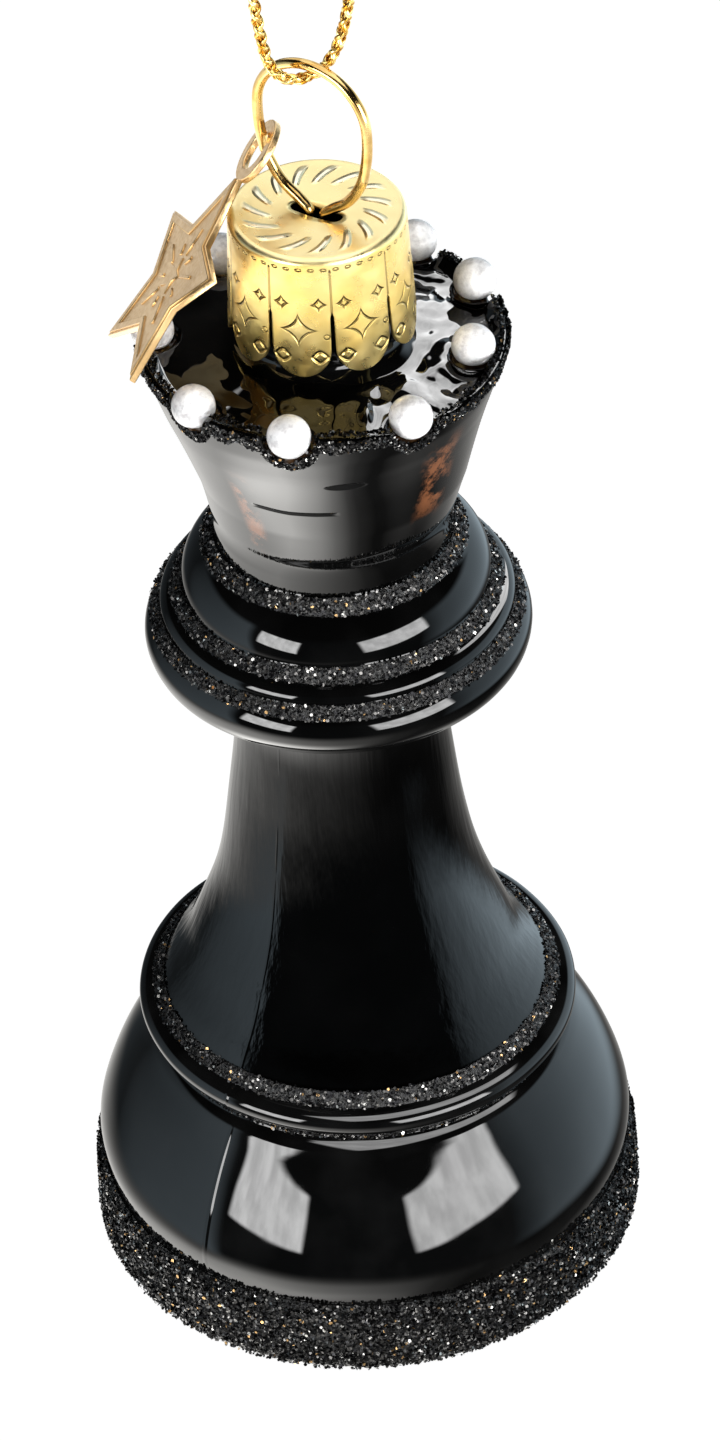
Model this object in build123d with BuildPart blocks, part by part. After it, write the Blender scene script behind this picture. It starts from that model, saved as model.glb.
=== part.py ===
from build123d import *
import os
from math import cos, radians, sin, sqrt, tan

# A hollow blown-glass ornament shaped like a chess queen. It hangs by a cord loop from a wire
# hanger, whose sprung legs hold a gold cap on the glass neck. Millimetres, +Z up. The origin is
# the hook point, where the two strands of the cord loop meet. Heights below are counted from the
# underside of the base, and are turned into model Z by the profile plane or by at_height().

os.makedirs("parts", exist_ok=True)

# Driving dimensions
LOOP_TOP = 180.0  # hook point above the underside of the base
BASE_R = 26.5  # outside of the base, over its glitter
GLITTER = 0.35  # thickness of a coat of glitter
GLITTER_GAP = 0.05  # glue line between the glass and a coat of glitter
WALL = 0.8  # glass wall
BASE_BAND_TOP = 7.0
NECK_R = 6.9
NECK_BORE_R = 6.2
NECK_TOP = 116.2

PEARL_R = 2.02
PEARL_HEIGHT = 104.0
# the pearls are set by hand, so that neither their spacing nor their distance from the axis is even
PEARL_PLACES = [
    (-11.8, -10.1),
    (-3.5, -15.3),
    (7.3, -13.4),
    (13.3, -3.3),
    (13.9, 6.6),
    (8.8, 13.0),
    (-0.5, 15.4),
    (-8.9, 12.5),
    (-15.3, 1.6),
]
SEAT_R = 2.65  # round seat in the crown for a pearl and its glue
GLUE_GAP = 0.06
GLUE_REACH = 16.0  # the glue ends inside the crown's rim

CAP_R = 8.1
CAP_TOP = 117.75
CAP_SHEET = 0.35
CAP_FOOT = 105.2
CAP_FOOT_R = 8.5
SLIT_TOP = 111.4
FLAPS = 9
FRONT_FLAP = -104  # azimuth of the middle of one flap
FLAP_WIDTH = 5.4
SLOT_LENGTH = 5.2
SLOT_WIDTH = 1.6

WIRE_R = 0.5
RING_TURN = -33.0  # turn of the hanger's plane about Z, from +X
RING_R = 5.6
RING_MID = 127.1  # height of the ring's centre
RING_TOP = RING_MID + RING_R

CORD_R = 0.55

TAG_THICKNESS = 0.9
TAG_R = 10.9  # circle of the star's five tips
TAG_NOTCH_R = 5.4
EYELET_RISE = 13.5  # eyelet's centre above the star's
EYELET_R = 3.1
EYELET_HOLE_R = 1.9
TAG_HANG = 0.9  # the wire passes this far above the middle of the eyelet
TAG_PIVOT = (-4.33, 2.81, 122.8)  # on the ring's left side; the third value is a height
TAG_RIGHT = (0.155, -0.940, 0.304)
TAG_FACING = (-0.792, 0.063, 0.607)

PROFILE = Plane(origin=(0, 0, -LOOP_TOP), x_dir=(1, 0, 0), z_dir=(0, -1, 0))


def at_height(height):
    """Model Z of a height above the underside of the base."""
    return height - LOOP_TOP


def around(radius, azimuth, height):
    """Point at a radius and azimuth about the axis, at a height above the base."""
    angle = radians(azimuth)
    return (radius * cos(angle), radius * sin(angle), at_height(height))


PEARL_CENTRES = [(x, y, at_height(PEARL_HEIGHT)) for x, y in PEARL_PLACES]

# Straight stretches of the outer profile that carry a coat of glitter: foot and head (r, height).
GLITTER_SEATS = {
    "groove_glitter": ((19.3, 23.7), (19.3, 24.5)),
    "ring_glitter": ((19.5, 27.5), (18.3, 28.7)),
    "collar_glitter_lower": ((17.3, 72.9), (16.4, 74.1)),
    "collar_glitter_middle": ((15.3, 75.6), (14.3, 76.8)),
    "collar_glitter_upper": ((12.2, 81.0), (11.0, 82.4)),
}
BASE_SEAT_R = BASE_R - GLITTER - GLITTER_GAP
BULGE_FOOT = (25.5, 7.8)
BULGE_HEAD = (20.2, 23.0)
RING_FOOT = (19.6, 24.8)
STEM_FOOT = GLITTER_SEATS["ring_glitter"][1]
COLLAR_FOOT = (10.3, 67.5)
COLLAR_EDGE = (14.6, 68.1)
CUP_FOOT = GLITTER_SEATS["collar_glitter_upper"][1]
CUP_RIM = (16.6, 103.6)
CROWN_FOOT = (NECK_R + 1.4, 103.9)

# Glass: outer shape, less the cavity and the pearls' seats
with BuildPart() as glass_cavity:
    with BuildSketch(PROFILE):
        with BuildLine():
            Polyline((0, 1.0), (24.1, 1.0), (24.7, 1.8), (24.7, 8.6))
            Spline((24.7, 8.6), (24.8, 11.0), (23.9, 14.4), (22.1, 18.3), (18.9, 22.9))
            Polyline((18.9, 22.9), (18.2, 24.2), (18.0, 27.2))
            Spline((18.0, 27.2), (14.4, 34.0), (11.2, 44.0), (9.1, 60.0), (9.4, 67.7))
            Polyline((9.4, 67.7), (14.3, 69.0))
            ThreePointArc((14.3, 69.0), (17.0, 71.2), (15.2, 74.0))
            ThreePointArc((15.2, 74.0), (12.6, 78.2), (10.3, 81.0))
            Spline((10.3, 81.0), (9.8, 85.3), (12.1, 94.2), (15.0, 101.0), (15.4, 102.8))
            Polyline((15.4, 102.8), (8.0, 103.0), (NECK_BORE_R, 104.6), (NECK_BORE_R, NECK_TOP + 1))
            Polyline((NECK_BORE_R, NECK_TOP + 1), (0, NECK_TOP + 1), (0, 1.0))
        make_face()
    revolve(axis=Axis.Z)
    with Locations(*PEARL_CENTRES):
        Sphere(SEAT_R + WALL, mode=Mode.SUBTRACT)

with BuildPart() as glass_body:
    with BuildSketch(PROFILE):
        with BuildLine():
            Polyline((0, 0), (BASE_SEAT_R - 0.6, 0), (BASE_SEAT_R, 0.6), (BASE_SEAT_R, BASE_BAND_TOP))
            Line((BASE_SEAT_R, BASE_BAND_TOP), BULGE_FOOT)
            Spline(BULGE_FOOT, (25.75, 10.8), (24.8, 14.4), (23.0, 18.4), BULGE_HEAD)
            Polyline(BULGE_HEAD, *GLITTER_SEATS["groove_glitter"], RING_FOOT)
            ThreePointArc(RING_FOOT, (20.95, 26.0), GLITTER_SEATS["ring_glitter"][0])
            Line(*GLITTER_SEATS["ring_glitter"])
            Spline(STEM_FOOT, (15.3, 34.0), (12.05, 44.0), (9.95, 60.0), COLLAR_FOOT)
            Line(COLLAR_FOOT, COLLAR_EDGE)
            ThreePointArc(COLLAR_EDGE, (17.9, 70.8), GLITTER_SEATS["collar_glitter_lower"][0])
            Line(*GLITTER_SEATS["collar_glitter_lower"])
            ThreePointArc(GLITTER_SEATS["collar_glitter_lower"][1], (16.2, 75.0), (15.3, 75.6))
            Line(*GLITTER_SEATS["collar_glitter_middle"])
            ThreePointArc(GLITTER_SEATS["collar_glitter_middle"][1], (13.8, 79.0), (12.2, 81.0))
            Line(*GLITTER_SEATS["collar_glitter_upper"])
            Spline(CUP_FOOT, (10.7, 85.0), (13.1, 94.3), (15.9, 101.0), CUP_RIM)
            ThreePointArc(CUP_RIM, (16.2, 104.2), (15.6, 104.4))
            ThreePointArc((15.6, 104.4), (11.8, 103.5), CROWN_FOOT)
            ThreePointArc(CROWN_FOOT, (NECK_R + 0.4, 104.4), (NECK_R, 105.4))
            Polyline((NECK_R, 105.4), (NECK_R, NECK_TOP), (0, NECK_TOP), (0, 0))
        make_face()
    revolve(axis=Axis.Z)
    with Locations(*PEARL_CENTRES):
        Sphere(SEAT_R, mode=Mode.SUBTRACT)
    add(glass_cavity.part, mode=Mode.SUBTRACT)
glass_body.part.label = "glass_body"
export_step(glass_body.part, "parts/glass_body.step")

# Glitter round the base: a sleeve that ends level with the glass underneath
with BuildPart() as base_glitter:
    with BuildSketch(Plane.XY.offset(at_height(0))):
        Circle(BASE_R)
        Circle(BASE_R - GLITTER, mode=Mode.SUBTRACT)
    extrude(amount=BASE_BAND_TOP)
base_glitter.part.label = "base_glitter"
export_step(base_glitter.part, "parts/base_glitter.step")

# Glitter lines: each is a coat laid on its straight stretch of the glass
for name, (foot, head) in GLITTER_SEATS.items():
    run_r = head[0] - foot[0]
    run_h = head[1] - foot[1]
    run = sqrt(run_r**2 + run_h**2)
    out_r = run_h / run
    out_h = -run_r / run
    inner = [(r + out_r * GLITTER_GAP, h + out_h * GLITTER_GAP) for r, h in (foot, head)]
    outer = [(r + out_r * GLITTER, h + out_h * GLITTER) for r, h in (head, foot)]
    with BuildPart() as glitter_line:
        with BuildSketch(PROFILE):
            with BuildLine():
                Polyline(*inner, *outer, close=True)
            make_face()
        revolve(axis=Axis.Z)
    glitter_line.part.label = name
    export_step(glitter_line.part, f"parts/{name}.step")

# Glitter along the crown's rim, dipping below each pearl
with BuildPart() as crown_rim_glitter:
    with BuildSketch(PROFILE):
        with BuildLine():
            Polyline((16.05, 100.2), (16.7, 101.8), (16.7, 103.9))
            Polyline((16.7, 103.9), (17.0, 103.9), (17.0, 101.7), (16.4, 100.2), (16.05, 100.2))
        make_face()
    revolve(axis=Axis.Z)
    with Locations(*PEARL_CENTRES):
        Sphere(SEAT_R, mode=Mode.SUBTRACT)
crown_rim_glitter.part.label = "crown_rim_glitter"
export_step(crown_rim_glitter.part, "parts/crown_rim_glitter.step")

# Pearls, and the cup of glue that each one sits in
for number, centre in enumerate(PEARL_CENTRES, start=1):
    with BuildPart() as pearl:
        with Locations(centre):
            Sphere(PEARL_R)
    pearl.part.label = f"pearl_{number}"
    export_step(pearl.part, f"parts/pearl_{number}.step")

with BuildPart() as glue_zone:
    with Locations((0, 0, at_height(PEARL_HEIGHT - 1.1))):
        Cylinder(GLUE_REACH, 1.6, align=(Align.CENTER, Align.CENTER, Align.MAX))

with BuildPart() as pearl_glue:
    with Locations(*PEARL_CENTRES):
        Sphere(SEAT_R - GLUE_GAP)
    add(glue_zone.part, mode=Mode.INTERSECT)
    with Locations(*PEARL_CENTRES):
        Sphere(PEARL_R + GLUE_GAP, mode=Mode.SUBTRACT)
pearl_glue.part.label = "pearl_glue"
export_step(pearl_glue.part, "parts/pearl_glue.step")

# Cap: pressed sheet with a rolled rim, a slot for the hanger and a skirt slit into flaps
FLAP_PLANES = [
    Plane(
        origin=(0, 0, at_height(CAP_FOOT)),
        x_dir=(-sin(radians(azimuth)), cos(radians(azimuth)), 0),
        z_dir=(cos(radians(azimuth)), sin(radians(azimuth)), 0),
    )
    for azimuth in range(FRONT_FLAP, FRONT_FLAP + 360, 360 // FLAPS)
]
with BuildPart() as flap_mould:
    with BuildSketch(Plane.XY.offset(at_height(SLIT_TOP))):
        Circle(CAP_R + 3)
    extrude(amount=CAP_TOP - SLIT_TOP + 1)
    with BuildSketch(*FLAP_PLANES):
        with BuildLine():
            side = FLAP_WIDTH / 2
            Polyline((-side, side), (-side, 8.0), (side, 8.0), (side, side))
            ThreePointArc((side, side), (0, 0), (-side, side))
        make_face()
    extrude(amount=CAP_R + 3)

with BuildPart() as ornament_cap:
    with BuildSketch(PROFILE):
        with BuildLine():
            Line((0, 117.3), (7.3, CAP_TOP))
            ThreePointArc((7.3, CAP_TOP), (7.9, 117.55), (CAP_R, 116.9))
            Line((CAP_R, 116.9), (CAP_FOOT_R, CAP_FOOT - 0.5))
            Line((CAP_FOOT_R, CAP_FOOT - 0.5), (CAP_FOOT_R - CAP_SHEET, CAP_FOOT - 0.5))
            Polyline((CAP_FOOT_R - CAP_SHEET, CAP_FOOT - 0.5), (7.7, 116.7), (7.2, 117.35))
            Polyline((7.2, 117.35), (0, 117.3 - CAP_SHEET), (0, 117.3))
        make_face()
    revolve(axis=Axis.Z)
    add(flap_mould.part, mode=Mode.INTERSECT)
    with BuildSketch(Plane.XY.offset(at_height(116))):
        SlotOverall(SLOT_LENGTH, SLOT_WIDTH, rotation=RING_TURN)
    extrude(amount=3, mode=Mode.SUBTRACT)
ornament_cap.part.label = "ornament_cap"
export_step(ornament_cap.part, "parts/ornament_cap.step")

# Hanger: one wire, a ring above the cap and two legs that spring apart inside the neck
RING_PLANE = Plane(
    origin=(0, 0, -LOOP_TOP),
    x_dir=around(1, RING_TURN, LOOP_TOP),
    z_dir=around(1, RING_TURN - 90, LOOP_TOP),
)
with BuildPart() as hanger_wire:
    with BuildLine(RING_PLANE) as wire_path:
        ThreePointArc((-RING_R, RING_MID), (0, RING_TOP), (RING_R, RING_MID))
        for side in (-1, 1):
            FilletPolyline(
                (side * RING_R, RING_MID),
                (side * RING_R, 122.9),
                (side * 0.9, 117.1),
                (side * 5.2, 107.3),
                radius=[7.5, 1.2],
            )
    with BuildSketch(wire_path.wire() ^ 0):
        Circle(WIRE_R)
    sweep(path=wire_path.wire())
hanger_wire.part.label = "hanger_wire"
export_step(hanger_wire.part, "parts/hanger_wire.step")

# Star tag: hangs from the ring's left side and leans on the rim of the cap
PIVOT_PLANE = Plane(
    origin=(TAG_PIVOT[0], TAG_PIVOT[1], at_height(TAG_PIVOT[2])),
    x_dir=TAG_RIGHT,
    z_dir=TAG_FACING,
)
TAG_PLANE = PIVOT_PLANE.shift_origin(PIVOT_PLANE.from_local_coords((0, -TAG_HANG - EYELET_RISE, 0)))
with BuildPart() as star_tag:
    with BuildSketch(TAG_PLANE):
        with BuildLine():
            tips = [Vector(0, TAG_R).rotate(Axis.Z, 72 * k) for k in range(5)]
            notches = [Vector(0, TAG_NOTCH_R).rotate(Axis.Z, 72 * k + 36) for k in range(5)]
            Polyline(*[point for pair in zip(tips, notches) for point in pair], close=True)
        make_face()
        with Locations((0, EYELET_RISE)):
            Circle(EYELET_R)
            Circle(EYELET_HOLE_R, mode=Mode.SUBTRACT)
    extrude(amount=TAG_THICKNESS / 2, both=True)
star_tag.part.label = "star_tag"
export_step(star_tag.part, "parts/star_tag.step")

# Cord: from the knot down the left strand, in front of the ring, under its top and up behind it
CORD_ROUTE = [
    (-0.6, 0.0, at_height(181.0)),
    (-3.9, -0.4, at_height(168.0)),
    (-5.3, -0.8, at_height(152.0)),
    (-4.4, -0.9, at_height(138.5)),
    (-3.2, -0.7, at_height(131.45)),
    (1.6, 0.7, at_height(131.3)),
    (3.9, 1.0, at_height(137.7)),
    (4.9, 0.8, at_height(151.0)),
    (3.4, 0.4, at_height(167.5)),
    (0.6, 0.0, at_height(181.0)),
]
cord_radii = []
for before, corner, after in zip(CORD_ROUTE, CORD_ROUTE[1:], CORD_ROUTE[2:]):
    run_in = Vector(*corner) - Vector(*before)
    run_out = Vector(*after) - Vector(*corner)
    turn = run_in.get_angle(run_out)
    cord_radii.append(0.45 * min(run_in.length, run_out.length) / tan(radians(turn / 2)))
print("cord radii", [round(radius, 1) for radius in cord_radii])
with BuildPart() as hanging_cord:
    with BuildLine() as cord_path:
        FilletPolyline(*CORD_ROUTE, radius=cord_radii)
    with BuildSketch(cord_path.wire() ^ 0):
        Circle(CORD_R)
    sweep(path=cord_path.wire())
print("cord length", round(cord_path.wire().length, 1), "volume", round(hanging_cord.part.volume, 2))
hanging_cord.part.label = "hanging_cord"
export_step(hanging_cord.part, "parts/hanging_cord.step")

# Knot that ties the cord's two ends together above the hook point, with its two tails
with BuildPart() as cord_knot:
    for tilt, height in ((-14, 182.0), (16, 183.1)):
        with Locations(Location((0, 0, at_height(height)), (0, tilt, 0))):
            Torus(1.25, 0.6)
    with Locations((0, 0, at_height(182.6))):
        Cylinder(1.2, 2.6)
    for side in (-1, 1):
        with BuildLine(PROFILE) as tail_path:
            Spline((side * 0.55, 183.0), (side * 0.9, 185.6), (side * 2.3, 189.0))
        with BuildSketch(tail_path.wire() ^ 0):
            Circle(CORD_R)
        sweep(path=tail_path.wire())
cord_knot.part.label = "cord_knot"
export_step(cord_knot.part, "parts/cord_knot.step")
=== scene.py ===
"""Blender looks for a blown-glass ornament shaped like a black chess queen, hung by a gold cord.

Shapes are written in millimetres, with heights counted from the underside of the base; mesh_piece()
and to_frame() turn them into the CAD frame, in metres, with the hook point at the origin."""

import math

import bmesh
import bpy
import numpy as np
from mathutils import Matrix, Vector, noise


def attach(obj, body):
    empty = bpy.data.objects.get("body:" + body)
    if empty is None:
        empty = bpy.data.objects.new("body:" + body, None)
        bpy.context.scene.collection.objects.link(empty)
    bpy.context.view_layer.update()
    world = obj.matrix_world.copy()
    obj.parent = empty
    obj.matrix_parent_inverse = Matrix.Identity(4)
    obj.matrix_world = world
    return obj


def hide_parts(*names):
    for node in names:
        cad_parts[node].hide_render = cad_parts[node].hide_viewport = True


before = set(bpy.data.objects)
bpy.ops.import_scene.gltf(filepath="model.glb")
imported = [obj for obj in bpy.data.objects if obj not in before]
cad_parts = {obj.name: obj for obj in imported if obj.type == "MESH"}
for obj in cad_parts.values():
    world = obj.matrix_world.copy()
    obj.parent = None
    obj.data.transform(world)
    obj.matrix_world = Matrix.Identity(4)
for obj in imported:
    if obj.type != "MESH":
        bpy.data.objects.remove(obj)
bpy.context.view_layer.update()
rng = np.random.default_rng(7)

MM = 0.001
LOOP_TOP = 180.0  # hook point above the underside of the base
COLUMNS = 360  # columns of the lathed glass
RIM_R = 16.4
CUP_FLARE = 99.0  # height from which the cup's wall runs up to the scalloped rim
NECK_FOOT_R = 8.3  # where the crown's top turns up into the neck

PEARL_R = 2.02
PEARL_HEIGHT = 104.0
PEARL_PLACES = [
    (-11.8, -10.1),
    (-3.5, -15.3),
    (7.3, -13.4),
    (13.3, -3.3),
    (13.9, 6.6),
    (8.8, 13.0),
    (-0.5, 15.4),
    (-8.9, 12.5),
    (-15.3, 1.6),
]
SEAT_R = 2.62
GLUE_REACH = 15.95  # the glue ends inside the crown's rim

CAP_FOOT = 105.2
CAP_FOOT_R = 8.5
CAP_R = 7.98  # where the skirt leaves the shoulder
CAP_SHOULDER = 116.9
SLIT_TOP = 111.4
FLAPS = 9
FIRST_FLAP = -104  # azimuth of the flap that faces the camera
FLAP_WIDTH = 5.4
SLOT_LENGTH = 5.2
SLOT_WIDTH = 1.6

WIRE_R = 0.5
RING_TURN = math.radians(-33)
RING_R = 5.6
RING_MID = 127.1

CORD_R = 0.55
CORD_ROUTE = [
    (-0.0006, 0.0, 0.001),
    (-0.0039, -0.0004, -0.012),
    (-0.0053, -0.0008, -0.028),
    (-0.0044, -0.0009, -0.0415),
    (-0.0032, -0.0007, -0.04855),
    (0.0016, 0.0007, -0.0487),
    (0.0039, 0.001, -0.0423),
    (0.0049, 0.0008, -0.029),
    (0.0034, 0.0004, -0.0125),
    (0.0006, 0.0, 0.001),
]

TAG_R = 10.9
TAG_NOTCH_R = 5.4
TAG_THICKNESS = 0.9
EYELET_RISE = 13.5
EYELET_R = 3.1
EYELET_HOLE_R = 1.9
TAG_HANG = 0.9
TAG_PIVOT = (-4.33, 2.81, 122.8)
TAG_RIGHT = (0.155, -0.940, 0.304)
TAG_FACING = (-0.792, 0.063, 0.607)

WHITE = (1, 1, 1, 1)
CAMERA_PLACE = (0, -0.530, 0.3156)
CAMERA_DOWN = 39.5  # degrees below level
CAMERA_YAW = 0.16
CAMERA_ROLL = -2.98
LENS = 183.87


# ---------------------------------------------------------------- shapes


def to_frame(points):
    """Millimetre points with heights above the base, as metres in the CAD frame."""
    return (np.asarray(points, float).reshape(-1, 3) - (0, 0, LOOP_TOP)) * MM


def arc(start, via, end, steps):
    """Points along the arc through three points, its start left out."""
    (ax, ay), (bx, by), (cx, cy) = start, via, end
    d = 2 * (ax * (by - cy) + bx * (cy - ay) + cx * (ay - by))
    a2, b2, c2 = ax * ax + ay * ay, bx * bx + by * by, cx * cx + cy * cy
    mx = (a2 * (by - cy) + b2 * (cy - ay) + c2 * (ay - by)) / d
    my = (a2 * (cx - bx) + b2 * (ax - cx) + c2 * (bx - ax)) / d
    first, middle, last = (math.atan2(y - my, x - mx) for x, y in (start, via, end))
    sweep = (last - first) % math.tau
    if (middle - first) % math.tau > sweep:
        sweep -= math.tau
    radius = math.hypot(ax - mx, ay - my)
    angles = [first + sweep * k / steps for k in range(1, steps + 1)]
    return [(mx + radius * math.cos(a), my + radius * math.sin(a)) for a in angles]


def run(start, end, steps):
    """Points along a straight line, its start left out."""
    return [tuple(np.array(start) + (np.array(end) - start) * k / steps) for k in range(1, steps + 1)]


def smooth(points, steps):
    """Points along a Catmull-Rom curve through the given ones, its start left out."""
    p = np.array(points, float)
    p = np.vstack([2 * p[0] - p[1], p, 2 * p[-1] - p[-2]])
    made = []
    for a, b, c, d in zip(p, p[1:], p[2:], p[3:]):
        for k in range(1, steps + 1):
            t = k / steps
            cubic = 2 * b + (c - a) * t + (2 * a - 5 * b + 4 * c - d) * t**2 + (3 * b - a - 3 * c + d) * t**3
            made.append(tuple(cubic / 2))
    return made


def lattice(rows, columns, closed=True):
    """Quads of a grid of vertices stored row by row; closed joins the last column to the first."""
    spans = columns if closed else columns - 1
    row, left = np.meshgrid(np.arange(rows - 1) * columns, np.arange(spans), indexing="ij")
    right = (left + 1) % columns
    quads = np.stack([row + left, row + right, row + columns + right, row + columns + left], -1)
    return quads.reshape(-1, 4).tolist()


def full_turn(count):
    """Equally spaced angles round a circle."""
    return np.linspace(0, math.tau, count, endpoint=False)


def unit(vectors):
    """The same vectors at length 1."""
    return vectors / np.linalg.norm(vectors, axis=-1, keepdims=True)


def add_part(verts, faces, more, quads):
    """Adds a part's vertices and faces to those of a piece."""
    faces += [tuple(i + len(verts) for i in quad) for quad in quads]
    verts += [tuple(point) for point in more]


def mesh_piece(name, points, faces, body, shader, slot, stands_for=(), smooth_shading=True):
    """A mesh object from millimetre points, riding on a body."""
    mesh = bpy.data.meshes.new(name)
    mesh.from_pydata(to_frame(points).tolist(), [], faces)
    mesh.polygons.foreach_set("use_smooth", [smooth_shading] * len(mesh.polygons))
    mesh.materials.append(shader)
    piece = bpy.data.objects.new(name, mesh)
    return place(piece, body, stands_for)


def place(piece, body, stands_for=()):
    """Links a piece to the scene, parents it to the body it rides on and hides the parts it stands for."""
    bpy.context.scene.collection.objects.link(piece)
    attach(piece, body)
    if stands_for:
        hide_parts(*stands_for)
    return piece


def ripple(points, scale, strength, seed=0.0):
    """Smooth noise at each millimetre point, with features about scale mm across."""
    return strength * np.array([noise.noise(Vector(p) / scale + Vector((seed, 0, 0))) for p in points])


# ---------------------------------------------------------------- materials


class Graph:
    """A material's or world's node tree. Inputs are numbers, colours or other nodes' sockets."""

    def __init__(self, owner):
        owner.use_nodes = True
        self.tree = owner.node_tree
        self.tree.nodes.clear()

    def node(self, kind, inputs=None, output=0, **settings):
        node = self.tree.nodes.new(kind)
        for key, value in settings.items():
            setattr(node, key, value)
        for key, value in (inputs or {}).items():
            self.put(node.inputs[key], value)
        return node.outputs[output] if node.outputs else node

    def put(self, socket, value):
        if isinstance(value, bpy.types.NodeSocket):
            self.tree.links.new(value, socket)
        else:
            socket.default_value = value

    def fill(self, node, **inputs):
        """Sets a node's inputs, whose names have underscores for spaces."""
        for key, value in inputs.items():
            self.put(node.inputs[key.replace("_", " ")], value)

    def math(self, operation, *values):
        return self.node("ShaderNodeMath", dict(enumerate(values)), operation=operation)

    def stretch(self, vector, factors):
        return self.node("ShaderNodeVectorMath", {0: vector, 1: factors}, operation="MULTIPLY")

    def split(self, vector):
        return self.node("ShaderNodeSeparateXYZ", {"Vector": vector}).node.outputs

    def span(self, value, low, high, out_low=0.0, out_high=1.0):
        """value from low to high, eased into out_low to out_high."""
        inputs = {"Value": value, "From Min": low, "From Max": high, "To Min": out_low, "To Max": out_high}
        return self.node("ShaderNodeMapRange", inputs, interpolation_type="SMOOTHSTEP")

    def window(self, value, low, high, edge):
        """1 where value lies between low and high, with soft edges."""
        rise = self.span(value, low - edge, low + edge)
        fall = self.span(value, high - edge, high + edge, 1.0, 0.0)
        return self.math("MULTIPLY", rise, fall)

    def ramp(self, value, stops, interpolation="LINEAR"):
        """A colour ramp; a stop is a position and a grey level or a colour."""
        node = self.tree.nodes.new("ShaderNodeValToRGB")
        node.color_ramp.interpolation = interpolation
        elements = node.color_ramp.elements
        while len(elements) < len(stops):
            elements.new(0.5)
        for element, (position, colour) in zip(elements, stops):
            element.position = position
            element.color = (*([colour] * 3 if isinstance(colour, (int, float)) else colour), 1)
        self.put(node.inputs["Fac"], value)
        return node.outputs["Color"]

    def mix(self, factor, a, b, mode="MIX"):
        node = self.tree.nodes.new("ShaderNodeMix")
        node.data_type, node.blend_type = "RGBA", mode
        for key, value in (("Factor_Float", factor), ("A_Color", a), ("B_Color", b)):
            self.put(next(s for s in node.inputs if s.identifier == key), value)
        return next(s for s in node.outputs if s.identifier == "Result_Color")

    def noise(self, scale, detail=2.0, vector=None, **inputs):
        wanted = {"Scale": scale, "Detail": detail, **inputs}
        if vector is not None:
            wanted["Vector"] = vector
        return self.node("ShaderNodeTexNoise", wanted)

    def position(self):
        """The place in the CAD frame at rest, in metres."""
        return self.node("ShaderNodeTexCoord", output="Object")

    def around(self):
        """Azimuth in degrees, radius in mm and height in mm of a shaded point."""
        x, y, z = self.split(self.position())
        azimuth = self.math("DEGREES", self.math("ARCTAN2", y, x))
        flat = self.node("ShaderNodeCombineXYZ", {"X": x, "Y": y})
        length = self.node("ShaderNodeVectorMath", {0: flat}, output="Value", operation="LENGTH")
        height = self.math("MULTIPLY_ADD", z, 1 / MM, LOOP_TOP)
        return azimuth, self.math("MULTIPLY", length, 1 / MM), height

    def bump(self, height, distance, strength=1.0, normal=None):
        inputs = {"Height": height, "Distance": distance, "Strength": strength}
        if normal is not None:
            inputs["Normal"] = normal
        return self.node("ShaderNodeBump", inputs)


def surface(name, **inputs):
    """A new material with one Principled shader; returns the material, its graph and the shader node."""
    made = bpy.data.materials.new(name)
    graph = Graph(made)
    shader = graph.tree.nodes.new("ShaderNodeBsdfPrincipled")
    graph.fill(shader, **inputs)
    graph.node("ShaderNodeOutputMaterial", {"Surface": shader.outputs["BSDF"]})
    return made, graph, shader


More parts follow.
